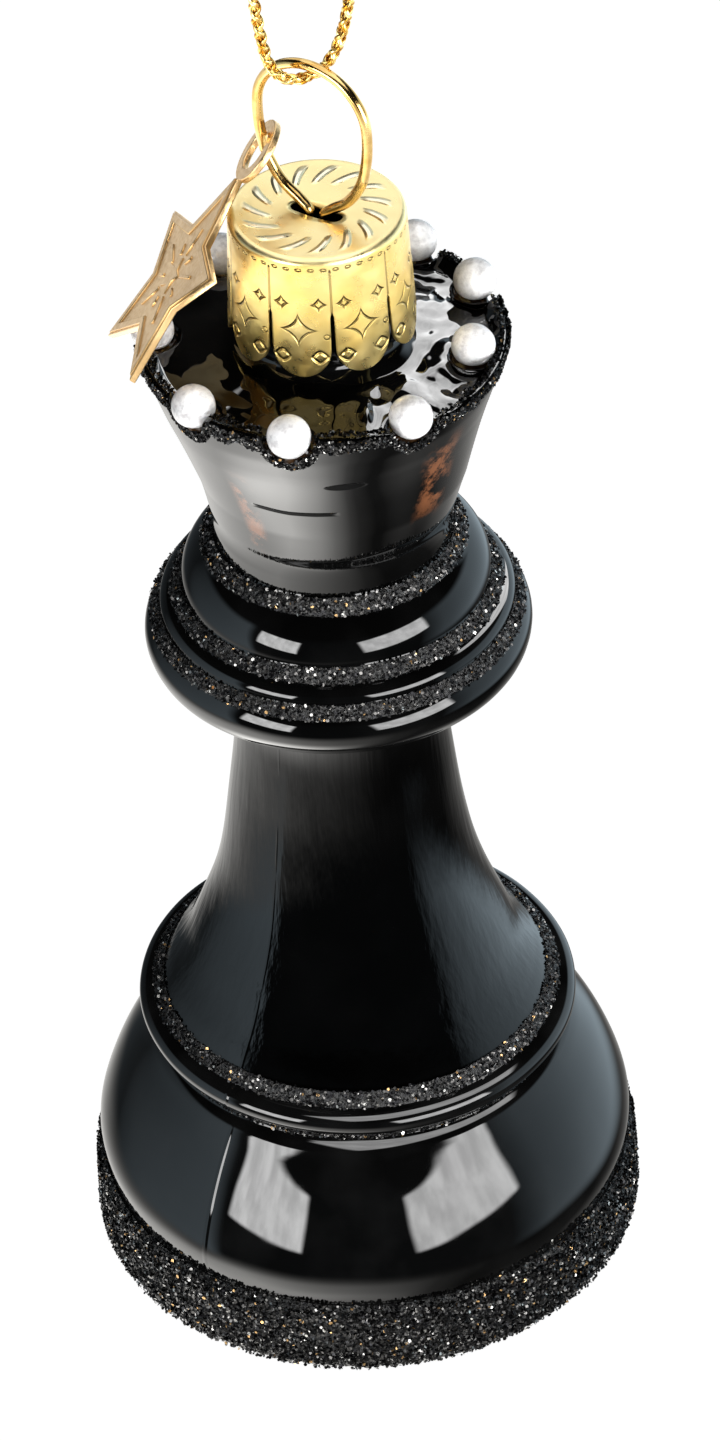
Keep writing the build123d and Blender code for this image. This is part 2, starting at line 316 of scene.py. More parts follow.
def black_glass():
    made, graph, shader = surface("black_glass", IOR=1.5)
    azimuth, _, height = graph.around()

    def patch(az_low, az_high, az_edge, low, high, edge):
        across = graph.window(azimuth, az_low, az_high, az_edge)
        return graph.math("MULTIPLY", across, graph.window(height, low, high, edge))

    cloud = graph.noise(140.0, 3.0, graph.position())
    black = graph.ramp(cloud, [(0.4, 0.001), (0.75, 0.004)])
    # copper mirroring shows through thin lacquer in two places on the cup
    worn = graph.span(graph.noise(330.0, 5.0, graph.position(), Roughness=0.7), 0.44, 0.58)
    left_patch, right_patch = patch(-129, -121, 2.5, 87.5, 97.0, 1.5), patch(-54, -41, 4.0, 90.5, 99.0, 2.0)
    bare = graph.math("ADD", left_patch, right_patch)
    copper = graph.mix(graph.math("MULTIPLY", worn, bare), black, (0.20, 0.075, 0.032, 1))
    # a chip, and a long scratch below it, both dull and dark
    chip_x = graph.math("POWER", graph.math("MULTIPLY_ADD", azimuth, 1 / 7, 85 / 7), 2.0)
    chip_y = graph.math("POWER", graph.math("MULTIPLY_ADD", height, 1 / 0.42, -97.6 / 0.42), 2.0)
    chip = graph.span(graph.math("ADD", chip_x, chip_y), 0.7, 1.3, 1.0, 0.0)
    drift = graph.math("MULTIPLY_ADD", graph.noise(120.0, 2.0, graph.position()), 1.6, 92.7)
    gap = graph.math("ABSOLUTE", graph.math("SUBTRACT", height, drift))
    thin = graph.span(gap, 0.12, 0.3, 1.0, 0.0)
    scratch = graph.math("MULTIPLY", graph.window(azimuth, -121, -89, 2.0), thin)
    scored = graph.math("MAXIMUM", chip, scratch)
    haze = graph.span(graph.noise(420.0, 4.0, graph.position()), 0.45, 0.8, 0.02, 0.06)
    wave = graph.bump(graph.noise(95.0, 1.0, graph.position()), 0.0003, 0.22)
    # blowing drew the stem out in upright streaks
    drawn = graph.stretch(graph.position(), (1.0, 1.0, 0.07))
    lines = graph.math("MULTIPLY", graph.noise(900.0, 3.0, drawn), graph.window(height, 29.0, 68.0, 2.0))
    streaks = graph.bump(lines, 0.00012, 0.5, wave)
    # the mould's two halves meet in a thin ridge, unbroken on the bulge and patchy on the stem
    fold = graph.math("WRAP", graph.math("ADD", azimuth, 128.5), 90.0, -90.0)
    seam = graph.window(fold, -0.4, 0.4, 0.4)
    patchy = graph.span(graph.noise(110.0, 2.0, graph.position()), 0.42, 0.6)
    patchy = graph.math("MAXIMUM", patchy, graph.span(height, 20.0, 24.0, 1.0, 0.0))
    low = graph.math("MULTIPLY", graph.window(height, 8.0, 66.0, 1.0), patchy)
    ridge = graph.math("SUBTRACT", graph.math("MULTIPLY", seam, low), scored)
    graph.fill(
        shader,
        Base_Color=copper,
        Specular_IOR_Level=graph.span(scored, 0.0, 1.0, 0.5, 0.05),
        Roughness=graph.math("MAXIMUM", haze, graph.math("MULTIPLY", scored, 0.4)),
        Normal=graph.bump(ridge, 0.00004, 1.0, streaks),
    )
    return made


def glitter():
    made, graph, shader = surface("black_glitter", Metallic=0.85)
    island = graph.node("ShaderNodeNewGeometry", output="Random Per Island")
    colour = graph.ramp(
        island,
        [
            (0.0, (0.008, 0.008, 0.009)),
            (0.50, (0.035, 0.034, 0.033)),
            (0.80, (0.16, 0.155, 0.15)),
            (0.95, (0.60, 0.59, 0.56)),
            (0.985, (0.80, 0.50, 0.22)),
        ],
        "CONSTANT",
    )
    shuffled = graph.math("FRACT", graph.math("MULTIPLY", island, 37.0))
    graph.fill(shader, Base_Color=colour, Roughness=graph.span(shuffled, 0.0, 1.0, 0.16, 0.45))
    return made


def glitter_glue():
    """The dark rough coat that shows between the flakes."""
    made, graph, shader = surface("glitter_glue", IOR=1.5)
    grain = graph.noise(3500.0, 3.0, graph.position())
    black = graph.ramp(grain, [(0.35, 0.002), (0.7, 0.012)])
    rough = graph.span(grain, 0.3, 0.7, 0.2, 0.55)
    graph.fill(shader, Base_Color=black, Roughness=rough, Normal=graph.bump(grain, 0.0003, 1.0))
    return made


def pearl_lacquer():
    made, graph, shader = surface(
        "pearl_lacquer",
        Subsurface_Weight=0.1,
        Subsurface_Radius=(0.0012, 0.001, 0.0009),
        Subsurface_Scale=0.5,
        Coat_Weight=0.7,
        Coat_Roughness=0.1,
    )
    mottle = graph.noise(1500.0, 5.0, graph.position(), Roughness=0.7)
    patches = graph.noise(420.0, 2.0, graph.position())
    dull, plain, bright = (0.60, 0.58, 0.59), (0.84, 0.83, 0.83), (0.95, 0.94, 0.94)
    fine = graph.ramp(mottle, [(0.34, dull), (0.5, plain), (0.64, bright)])
    soft = graph.ramp(patches, [(0.35, 0.66), (0.62, 1.0)])
    white = graph.mix(1.0, fine, soft, "MULTIPLY")
    rough = graph.span(mottle, 0.3, 0.7, 0.5, 0.25)
    graph.fill(shader, Base_Color=white, Roughness=rough, Normal=graph.bump(mottle, 0.0002, 0.6))
    return made


def clear_glue():
    made, graph, shader = surface("clear_glue", Roughness=0.04, IOR=1.48)
    cloud = graph.noise(600.0, 3.0, graph.position())
    amber = graph.ramp(cloud, [(0.35, (0.003, 0.002, 0.002)), (0.7, (0.06, 0.03, 0.012))])
    graph.fill(shader, Base_Color=amber, Normal=graph.bump(cloud, 0.0004, 0.5))
    return made


def cap_gold():
    made, graph, shader = surface("cap_gold", Metallic=1.0)
    azimuth, radius, height = graph.around()
    pitch = 360 / FLAPS
    turn = graph.math("WRAP", graph.math("SUBTRACT", azimuth, FIRST_FLAP), pitch / 2, -pitch / 2)
    across = graph.math("MULTIPLY", graph.math("RADIANS", turn), radius)
    folded = graph.math("ABSOLUTE", across)
    up = graph.math("SUBTRACT", height, CAP_FOOT)

    def outline(x, x_middle, y, y_middle, reach_x, reach_y, power, width):
        """1 on the outline of a rounded or pointed shape, whose points lie at its reach from its middle."""
        dx = graph.math("ABSOLUTE", graph.math("MULTIPLY_ADD", x, 1 / reach_x, -x_middle / reach_x))
        dy = graph.math("ABSOLUTE", graph.math("MULTIPLY_ADD", y, 1 / reach_y, -y_middle / reach_y))
        total = graph.math("ADD", graph.math("POWER", dx, power), graph.math("POWER", dy, power))
        return graph.span(graph.math("ABSOLUTE", graph.math("SUBTRACT", total, 1.0)), 0.0, width, 1.0, 0.0)

    dot_turn = graph.math("WRAP", azimuth, 4.0, -4.0)
    dot_across = graph.math("MULTIPLY", graph.math("RADIANS", dot_turn), radius)
    crease = graph.math("ABSOLUTE", graph.math("SUBTRACT", graph.math("ABSOLUTE", turn), pitch / 2))
    grooves = [
        outline(across, -0.2, up, 4.9, 1.65, 1.6, 0.62, 0.13),
        outline(folded, 1.7, up, 7.6, 0.55, 0.55, 0.75, 0.4),
        outline(folded, 1.7, up, 2.1, 0.62, 0.58, 1.4, 0.6),
        outline(across, 2.35, up, 4.2, 0.26, 0.26, 2.0, 0.7),
        outline(dot_across, 0.0, up, 11.25, 0.24, 0.15, 2.0, 1.0),
        graph.math("MULTIPLY", graph.span(crease, 0.3, 0.9, 1.0, 0.0), graph.window(up, 5.5, 11.1, 0.2)),
    ]
    pressed = grooves[0]
    for groove in grooves[1:]:
        pressed = graph.math("MAXIMUM", pressed, groove)
    pressed = graph.math("MULTIPLY", pressed, graph.span(height, 116.8, 117.0, 1.0, 0.0))
    # a ring of slanting leaves round the slot
    slant = graph.math("MULTIPLY_ADD", radius, 7.0, azimuth)
    leaf = graph.math("ABSOLUTE", graph.math("WRAP", slant, 12.0, -12.0))
    leaf = graph.math("MULTIPLY", graph.span(leaf, 1.5, 5.5, 1.0, 0.0), graph.window(radius, 4.4, 6.4, 0.5))
    raised = graph.math("MULTIPLY", leaf, graph.span(height, 117.0, 117.2))
    tint = graph.noise(240.0, 3.0, graph.position())
    gold = graph.ramp(tint, [(0.3, (0.74, 0.52, 0.14)), (0.7, (0.86, 0.67, 0.27))])
    # painted highlight: the shoulder and the top of the disc are painted paler gold
    highlit_gold = graph.mix(graph.span(height, 116.8, 117.3, 0.0, 0.5), gold, (0.97, 0.88, 0.55, 1))
    # painted highlight: the raised leaves round the slot are painted paler still
    highlit_gold = graph.mix(graph.math("MULTIPLY", raised, 0.7), highlit_gold, (1.0, 0.96, 0.80, 1))
    # painted shade: the pressed grooves, the dots under the rim and the creases between the flaps are painted
    # dark brown
    groove = graph.math("MULTIPLY", pressed, 0.55)
    colour = graph.mix(groove, highlit_gold, (0.20, 0.11, 0.02, 1))
    brushed = graph.noise(700.0, 4.0, graph.position())
    rough = graph.span(brushed, 0.3, 0.7, 0.26, 0.38)
    dents = graph.bump(graph.noise(330.0, 2.0, graph.position()), 0.0003, 0.3)
    relief = graph.math("SUBTRACT", graph.math("MULTIPLY", raised, 2.0), pressed)
    graph.fill(shader, Base_Color=colour, Roughness=rough, Normal=graph.bump(relief, 0.00015, 1.0, dents))
    return made


def wire_gold():
    made, graph, shader = surface("wire_gold", Metallic=1.0)
    tint = graph.noise(500.0, 3.0, graph.position())
    gold = graph.ramp(tint, [(0.3, (0.52, 0.30, 0.08)), (0.7, (0.80, 0.57, 0.23))])
    rough = graph.span(tint, 0.3, 0.7, 0.10, 0.20)
    graph.fill(shader, Base_Color=gold, Roughness=rough, Normal=graph.bump(tint, 0.0001, 0.4))
    return made


def tag_brass():
    made, graph, shader = surface("tag_brass", Metallic=1.0)
    tint = graph.noise(180.0, 4.0, graph.position())
    brass = graph.ramp(tint, [(0.3, (0.58, 0.38, 0.17)), (0.7, (0.76, 0.53, 0.27))])
    satin = graph.noise(2600.0, 2.0, graph.position())
    rough = graph.span(satin, 0.3, 0.7, 0.28, 0.42)
    graph.fill(shader, Base_Color=brass, Roughness=rough, Normal=graph.bump(satin, 0.00005, 0.5))
    return made


def cord_gold():
    made, graph, shader = surface("cord_gold", Metallic=1.0)
    strand = graph.node("ShaderNodeNewGeometry", output="Random Per Island")
    glint = graph.noise(1600.0, 3.0, graph.position())
    light = graph.ramp(glint, [(0.40, (0.50, 0.24, 0.02)), (0.56, (0.98, 0.80, 0.34))])
    deep = graph.ramp(glint, [(0.42, (0.34, 0.14, 0.01)), (0.6, (0.90, 0.58, 0.12))])
    rough = graph.span(glint, 0.3, 0.7, 0.30, 0.16)
    graph.fill(shader, Base_Color=graph.mix(strand, light, deep), Roughness=rough)
    return made


def floor_paint():
    made, graph, shader = surface("floor_paint", Roughness=0.6, Emission_Color=WHITE, Emission_Strength=1.0)
    speck = graph.noise(30.0, 2.0, graph.position())
    graph.fill(shader, Base_Color=graph.ramp(speck, [(0.3, 0.80), (0.7, 0.82)]))
    return made


GLASS = black_glass()
GLUE_COAT = glitter_glue()
FLAKES = glitter()
PEARL = pearl_lacquer()
GLUE = clear_glue()
CAP_GOLD = cap_gold()
WIRE_GOLD = wire_gold()
BRASS = tag_brass()
CORD_GOLD = cord_gold()


# ---------------------------------------------------------------- camera, light and floor


def add_camera():
    data = bpy.data.cameras.new("photo_camera")
    data.lens = LENS
    data.sensor_width = 36
    data.clip_start, data.clip_end = 0.05, 20
    camera = bpy.data.objects.new("photo_camera", data)
    bpy.context.scene.collection.objects.link(camera)
    turn = Matrix.Identity(4)
    for degrees, axis in ((-CAMERA_YAW, "Z"), (90 - CAMERA_DOWN, "X"), (CAMERA_ROLL, "Z")):
        turn = turn @ Matrix.Rotation(math.radians(degrees), 4, axis)
    camera.matrix_world = Matrix.Translation(CAMERA_PLACE) @ turn
    bpy.context.scene.camera = camera


def add_studio():
    """Pale side screens and a bright table, as the glass mirrors them, on a white backdrop."""
    world = bpy.data.worlds.new("studio")
    bpy.context.scene.world = world
    graph = Graph(world)
    direction = graph.node("ShaderNodeTexCoord", output="Generated")
    x, y, z = graph.split(direction)
    # azimuth 0 is towards the camera and 90 to its right
    azimuth = graph.math("DEGREES", graph.math("ARCTAN2", x, graph.math("MULTIPLY", y, -1.0)))
    elevation = graph.math("DEGREES", graph.math("ARCSINE", z))
    share = graph.math("MULTIPLY_ADD", azimuth, 1 / 360, 0.5)

    def stop(az, value):
        return ((az + 180) / 360, value / 4)

    table = graph.ramp(
        share,
        [stop(-180, 0.8), stop(-120, 2.0), stop(-92, 2.6), stop(-60, 3.1), stop(-30, 2.0), stop(0, 1.0)]
        + [stop(30, 0.2), stop(50, 0.03), stop(105, 0.03), stop(135, 0.3), stop(165, 0.5), stop(180, 0.5)],
    )
    screens = graph.ramp(
        share,
        [stop(-180, 0.1), stop(-130, 0.05), stop(-100, 0.45), stop(-66, 0.9), stop(-60, 0.02), stop(56, 0.02)]
        + [stop(75, 0.7), stop(110, 1.2), stop(150, 1.1), stop(180, 0.6)],
    )
    table_part = graph.math("MULTIPLY", table, graph.span(elevation, -46.0, -22.0, 4.0, 0.0))
    level = graph.math("MULTIPLY", graph.window(elevation, -27.0, 19.0, 5.0), 4.0)
    screen_part = graph.math("MULTIPLY", screens, level)
    # the table just round the foot, which the flaring cup mirrors, is brighter than the rest
    near = graph.ramp(
        share,
        [stop(-180, 3.0), stop(-120, 4.6), stop(-60, 3.2), stop(-20, 1.8), stop(0, 0.7), stop(20, 0.0)]
        + [stop(60, 0.0), stop(100, 0.5), stop(140, 1.2), stop(180, 3.0)],
    )
    near_part = graph.math("MULTIPLY", near, graph.span(elevation, -72.0, -56.0, 4.0, 0.0))
    total = graph.math("ADD", graph.math("ADD", table_part, near_part), 0.01)
    warm = graph.node("ShaderNodeVectorMath", {0: (1.0, 0.985, 0.95), "Scale": total}, operation="SCALE")
    cool = graph.node("ShaderNodeVectorMath", {0: (0.82, 1.0, 1.12), "Scale": screen_part}, operation="SCALE")
    mirrored = graph.node("ShaderNodeVectorMath", {0: warm, 1: cool}, operation="ADD")
    seen = graph.node("ShaderNodeLightPath", output="Is Camera Ray")
    light = graph.node("ShaderNodeBackground", {"Color": mirrored, "Strength": 1.0})
    backdrop = graph.node("ShaderNodeBackground", {"Color": WHITE, "Strength": 1.0})
    shown = graph.node("ShaderNodeMixShader", {0: seen, 1: light, 2: backdrop})
    graph.node("ShaderNodeOutputWorld", {"Surface": shown})


def add_floor():
    mesh = bpy.data.meshes.new("floor")
    size, level = 3.0, -LOOP_TOP * MM - 0.0001
    corners = [(-size, -size, level), (size, -size, level), (size, size, level), (-size, size, level)]
    mesh.from_pydata(corners, [], [(0, 1, 2, 3)])
    mesh.materials.append(floor_paint())
    floor = bpy.data.objects.new("floor", mesh)
    floor.visible_glossy = False
    bpy.context.scene.collection.objects.link(floor)


add_camera()
add_studio()
add_floor()
bpy.context.scene.view_settings.view_transform = "Standard"


# ---------------------------------------------------------------- cord and knot


def curve_mesh(data):
    """The mesh that a curve makes, in place of the curve."""
    carrier = bpy.data.objects.new(data.name, data)
    bpy.context.scene.collection.objects.link(carrier)
    evaluated = carrier.evaluated_get(bpy.context.evaluated_depsgraph_get())
    mesh = bpy.data.meshes.new_from_object(evaluated)
    bpy.data.objects.remove(carrier)
    bpy.data.curves.remove(data)
    return mesh


def spline_points(name, route):
    """Points of the smooth line that has the route as its control points, in metres."""
    data = bpy.data.curves.new(name, "CURVE")
    data.dimensions = "3D"
    data.resolution_u = 24
    line = data.splines.new("NURBS")
    line.points.add(len(route) - 1)
    for point, spot in zip(line.points, route):
        point.co = (*spot, 1)
    line.order_u = 3
    line.use_endpoint_u = True
    mesh = curve_mesh(data)
    points = np.array([v.co for v in mesh.vertices], float)
    bpy.data.meshes.remove(mesh)
    return points


def spaced(points, step):
    """The same line with points at equal steps."""
    lengths = np.r_[0, np.cumsum(np.linalg.norm(np.diff(points, axis=0), axis=1))]
    places = np.linspace(0, lengths[-1], max(2, round(lengths[-1] / step)))
    return np.stack([np.interp(places, lengths, points[:, k]) for k in range(3)], -1), places


def frames_along(points):
    """Two unit vectors across the line at each point, turning as little as they can."""
    along = unit(np.gradient(points, axis=0))
    side = np.cross(along[0], (0.3, 1.0, 0.2))
    sides = []
    for direction in along:
        side = unit(side - direction * (side @ direction))
        sides.append(side)
    sides = np.array(sides)
    return sides, np.cross(along, sides)


def tube(points, radius, sides=8, flat=1.0, out=None):
    """Vertices and faces of a tube along points; flat squashes it towards out, if that is given."""
    if out is None:
        across, over = frames_along(points)
    else:
        along = unit(np.gradient(points, axis=0))
        over = unit(out - along * np.sum(out * along, 1)[:, None])
        across = np.cross(along, over)
    turns = full_turn(sides)[:, None]
    ring = across[:, None] * np.cos(turns) + over[:, None] * np.sin(turns) * flat
    verts = (points[:, None] + ring * radius).reshape(-1, 3)
    count = len(points)
    faces = lattice(count, sides)
    faces += [tuple(range(sides - 1, -1, -1)), tuple(range((count - 1) * sides, count * sides))]
    return verts, faces


def braid(line, radius, pitch=3.1, pairs=2):
    """A round plait of flat metallic strands, half of them winding each way, over and under by turns."""
    points, places = spaced(line, 0.09)
    across, over = frames_along(points)
    verts, faces = [], []
    for way in (1, -1):
        for strand in range(pairs):
            turn = way * (places / pitch + strand / pairs) * math.tau
            lift = radius * (0.66 + 0.14 * way * np.cos(places / pitch * math.tau * pairs))
            out = across * np.cos(turn)[:, None] + over * np.sin(turn)[:, None]
            add_part(verts, faces, *tube(points + out * lift[:, None], radius * 0.42, 8, 0.62, out))
    add_part(verts, faces, *tube(points[::3], radius * 0.42))
    return verts, faces


def back_to_mm(points):
    return points / MM + (0, 0, LOOP_TOP)


cord_line = spline_points("cord_line", CORD_ROUTE)
cord_verts, cord_faces = braid(back_to_mm(cord_line), CORD_R)
CORD_FINISH = ("cord_loop", CORD_GOLD, "gold_cord")
cord = mesh_piece("hanging_cord_braid", cord_verts, cord_faces, *CORD_FINISH, ["hanging_cord"])


def overhand_knot():
    """Both strands of the loop taken once round each other, then two short tails."""
    verts, faces = [], []
    for side in (-1, 1):
        route = [
            (side * 0.6, 0.0, 180.9),
            (side * 0.9, side * 0.5, 181.6),
            (side * 0.3, side * 1.25, 182.3),
            (-side * 1.1, side * 0.75, 182.6),
            (-side * 1.15, -side * 0.8, 182.7),
            (side * 0.5, -side * 1.15, 183.2),
            (side * 1.0, -side * 0.1, 184.1),
            (side * 0.9, side * 0.2, 185.6),
            (side * 2.3, side * 0.1, 188.9),
        ]
        line = spline_points("knot_line", to_frame(route))
        add_part(verts, faces, *braid(back_to_mm(line), CORD_R))
    return verts, faces


knot_verts, knot_faces = overhand_knot()
knot = mesh_piece("overhand_knot", knot_verts, knot_faces, *CORD_FINISH, ["cord_knot"])


# ---------------------------------------------------------------- glass


def blend_down(a, b, width):
    """The lower of two heights, with a rounded change from one to the other."""
    share = np.clip(0.5 + 0.5 * (b - a) / width, 0, 1)
    return b + (a - b) * share - width * share * (1 - share)


CROWN_DISH = ((8.3, 103.9), (9.5, 103.75), (12.5, 103.4), (14.9, 103.15), (15.9, 104.1), (16.7, 104.4))


def crown_height(x, y):
    """Height of the crown's top: a shallow dish of lacquer with a round bowl under each pearl."""
    radius = np.hypot(x, y)
    height = np.interp(radius, *zip(*CROWN_DISH))
    # on the right the lacquer has sagged outwards and set in folds
    height = height - 0.09 * np.clip(x - 0.5, 0, 9)
    folds = np.sin(0.95 * x + 0.5 * y + 1.1 * np.sin(0.6 * y)) * np.sin(0.55 * y - 0.35 * x)
    height = height + 0.13 * np.clip((x - 1.5) / 3, 0, 1) * folds
    # a run of lacquer has set between the second and the third pearl
    height = height + 0.55 * np.exp(-(((x - 3.4) / 0.55) ** 2) - ((y + 11.9) / 1.6) ** 2)
    for cx, cy in PEARL_PLACES:
        away = np.hypot(x - cx, y - cy)
        bowl = PEARL_HEIGHT - np.sqrt(np.maximum(SEAT_R**2 - away**2, 0))
        bowl = bowl + 3.0 * np.maximum(away - SEAT_R, 0)
        height = blend_down(height, bowl, 0.45)
    return height


def base_wall():
    """Outer wall from the underside to the middle of the ring's glitter: radius and height."""
    wall = [(24.6, 0.0), (25.5, 0.15), (26.05, 0.75)]
    wall += run(wall[-1], (26.0, 7.0), 6)
    wall += run(wall[-1], (25.5, 7.8), 2)
    wall += smooth([(25.5, 7.8), (25.75, 10.8), (24.8, 14.4), (23.0, 18.4), (20.2, 23.0)], 12)
    wall += run(wall[-1], (19.3, 23.7), 2)
    wall += run(wall[-1], (19.3, 24.5), 2)
    wall += run(wall[-1], (19.6, 24.8), 1)
    wall += arc(wall[-1], (20.95, 26.0), (19.5, 27.5), 16)
    return wall + run(wall[-1], (18.9, 28.1), 3)


def stem_wall():
    """Outer wall from the ring's glitter to the edge of the collar's underside."""
    wall = [(18.9, 28.1), (18.3, 28.7)]
    wall += smooth([(18.3, 28.7), (15.3, 34.0), (12.05, 44.0), (9.95, 60.0), (10.3, 67.5)], 18)
    return wall + run(wall[-1], (14.6, 68.1), 6)


def head_wall():
    """Outer wall from the collar to the lower part of the cup."""
    wall = [(14.6, 68.1)]
    wall += arc(wall[-1], (17.9, 70.8), (17.3, 72.9), 14)
    wall += run(wall[-1], (16.4, 74.1), 2)
    wall += arc(wall[-1], (16.2, 75.0), (15.3, 75.6), 6)
    wall += run(wall[-1], (14.3, 76.8), 2)
    wall += arc(wall[-1], (13.8, 79.0), (12.2, 81.0), 12)
    wall += run(wall[-1], (11.0, 82.4), 3)
    cup = [(11.0, 82.4), (11.15, 85.0), (11.6, 87.0), (12.4, 90.0), (13.9, 95.0), (15.25, CUP_FLARE)]
    return wall + smooth(cup, 12)


CUP_SLOPE = ((CUP_FLARE, 15.25), (101.0, 15.9), (102.5, 16.3), (103.6, 16.6), (105.0, 16.7))


def cup_radius(height):
    return np.interp(height, *zip(*CUP_SLOPE))


def crown_rim(azimuths):
    """Height of the crown's rim at each azimuth."""
    return crown_height(RIM_R * np.cos(azimuths), RIM_R * np.sin(azimuths))


def hand_blown(points):
    """Blown glass is never quite straight: the ring dips, the stem leans left and the cup right."""
    height = points[:, 2].copy()
    points[:, 2] -= 0.02 * points[:, 0] * np.interp(height, [22, 25, 30, 40], [0, 1, 1, 0])
    leans = [(25, 0), (30, -0.3), (45, -0.3), (60, -0.2), (68, 0), (84, 0), (90, 0.3), (98, 0)]
    points[:, 0] += np.interp(height, *zip(*leans))
    return points


def lathed(name, rows, closed_ends):
    """A glass piece from rows of radii and heights, one value for each column."""
    azimuths = full_turn(COLUMNS)
    radii = np.array([np.broadcast_to(r, COLUMNS) for r, _ in rows])
    heights = np.array([np.broadcast_to(h, COLUMNS) for _, h in rows])
    points = np.stack([radii * np.cos(azimuths), radii * np.sin(azimuths), heights], -1).reshape(-1, 3)
    outward = unit(points * (1, 1, 0))
    soft = np.interp(points[:, 2], [0, 7.4, 9, 102, 106], [0, 0, 1, 1, 0])
    points += outward * (ripple(points, 9.0, 0.10) * soft)[:, None]
    faces = lattice(len(rows), COLUMNS)
    if "foot" in closed_ends:
        faces.append(tuple(range(COLUMNS - 1, -1, -1)))
    if "head" in closed_ends:
        faces.append(tuple(range((len(rows) - 1) * COLUMNS, len(rows) * COLUMNS)))
    return mesh_piece(name, hand_blown(points), faces, "ornament", GLASS, "black_glass", ["glass_body"])


def head_rows():
    """The cup's wall and scalloped rim, the crown's top, and the neck inside the cap."""
    azimuths = full_turn(COLUMNS)
    cosine, sine = np.cos(azimuths), np.sin(azimuths)
    rows = head_wall()
    top = crown_rim(azimuths)
    edge = 0.4  # rounding of the rim
    flare_rows, top_rows = 14, 60
    for k in range(1, flare_rows + 1):
        height = CUP_FLARE + (top - edge - CUP_FLARE) * k / flare_rows
        rows.append((cup_radius(height), height))
    rim_radius = cup_radius(top - edge)
    for angle in np.radians([20, 40, 60, 80]):
        rows.append((rim_radius - edge * (1 - np.cos(angle)), top - edge * (1 - np.sin(angle))))
    for k in range(1, top_rows + 1):
        radius = (rim_radius - edge) + (NECK_FOOT_R - rim_radius + edge) * k / top_rows
        x, y = radius * cosine, radius * sine
        flat = np.stack([x, y, np.zeros(COLUMNS)], -1)
        # the lacquer lies smooth on the left and in broad folds on the right
        folds = np.interp(x, [-4, 5], [0.25, 1.0])
        folds = folds * np.interp(radius, [NECK_FOOT_R, 9.5, 14.5, 16.0], [0, 1, 1, 0])
        lift = (ripple(flat, 3.2, 0.38, 5.0) + ripple(flat, 1.3, 0.09, 9.0)) * folds
        rows.append((radius, crown_height(x, y) + lift))
    # the neck goes up to its lip and back down inside
    rows += arc((NECK_FOOT_R, 103.9), (7.3, 104.4), (6.9, 105.4), 5) + run((6.9, 105.4), (6.9, 115.9), 6)
    return rows + arc((6.9, 115.9), (6.55, 116.2), (6.2, 115.9), 6) + run((6.2, 115.9), (6.2, 103.0), 4)


base = lathed("glass_base", base_wall(), ["foot"])
stem = lathed("glass_stem", stem_wall(), [])
head = lathed("glass_head", head_rows(), ["head"])


# ---------------------------------------------------------------- glitter


def scatter(points, normals, size, tilt):
    """Six-sided flakes at points, each tipped at random away from its normal."""
    count = len(points)
    up = unit(normals + rng.normal(0, tilt, (count, 3)))
    side = unit(np.cross(up, rng.normal(0, 1, (count, 3))))
    turns = full_turn(6)[:, None]
    reach = size * rng.uniform(0.7, 1.25, count)[:, None, None] / 2
    ring = side[:, None] * np.cos(turns) + np.cross(up, side)[:, None] * np.sin(turns)
    verts = (points[:, None] + ring * reach).reshape(-1, 3)
    return verts, np.arange(count * 6).reshape(-1, 6).tolist()


def band_samples(foot, head, slope, count, jitter=0.06):
    """Random points on the cone between two profile points, with their outward normals."""
    azimuth = rng.uniform(0, math.tau, count)
    share = rng.uniform(0, 1, count)
    radius = foot[0] + (head[0] - foot[0]) * share + rng.normal(0, jitter, count)
    height = foot[1] + (head[1] - foot[1]) * share
    cosine, sine = np.cos(azimuth), np.sin(azimuth)
    points = np.stack([radius * cosine, radius * sine, height], -1)
    normals = np.stack([slope[0] * cosine, slope[0] * sine, np.full(count, slope[1])], -1)
    return points, normals


def glitter_band(name, foot, head, thickness, count, slot="black_glitter", node=None, size=0.28):
    """A dark coat with flakes on it, on the glass between two profile points; it stands for its node."""
    foot, head = np.array(foot), np.array(head)
    slope = unit(np.array([head[1] - foot[1], foot[0] - head[0]]))
    rows = []
    for share, lift in ((0, -0.05), (0.04, 0.6), (0.35, 1.0), (0.65, 1.0), (0.96, 0.6), (1, -0.05)):
        rows.append(foot + (head - foot) * share + slope * lift * thickness * 0.8)
    coat = np.array([(r * math.cos(a), r * math.sin(a), h) for r, h in rows for a in full_turn(COLUMNS)])
    lump = ripple(coat, 0.5, thickness * 0.25)
    coat[:, :2] *= (1 + lump / np.hypot(coat[:, 0], coat[:, 1]))[:, None]
    faces = lattice(len(rows), COLUMNS)
    points, normals = band_samples(foot + slope * thickness, head + slope * thickness, slope, count)
    flakes, plates = scatter(points, normals, size, 0.55)
    plates = [tuple(i + len(coat) for i in plate) for plate in plates]
    verts = hand_blown(np.vstack([coat, flakes]))
    nodes = [node or name]
    piece = mesh_piece(name + "_flakes", verts, faces + plates, "ornament", GLUE_COAT, slot, nodes, False)
    piece.data.materials.append(FLAKES)
    piece.data.polygons.foreach_set("material_index", [0] * len(faces) + [1] * len(plates))


glitter_band("base_glitter", (26.1, 0.2), (25.95, 7.1), 0.28, 34000, "base_glitter", size=0.32)
glitter_band("base_edge_glitter", (25.98, 7.0), (25.55, 7.75), 0.14, 4200, "base_glitter", "base_glitter")
glitter_band("groove_glitter", (19.35, 23.7), (19.35, 24.6), 0.2, 4200)
glitter_band("ring_glitter", (19.45, 27.5), (18.35, 28.65), 0.14, 5200)
glitter_band("collar_glitter_lower", (17.3, 72.9), (16.4, 74.1), 0.14, 4800)
glitter_band("collar_glitter_middle", (15.3, 75.6), (14.3, 76.8), 0.14, 4400)
glitter_band("collar_glitter_upper", (12.2, 81.0), (11.1, 82.3), 0.14, 4400)


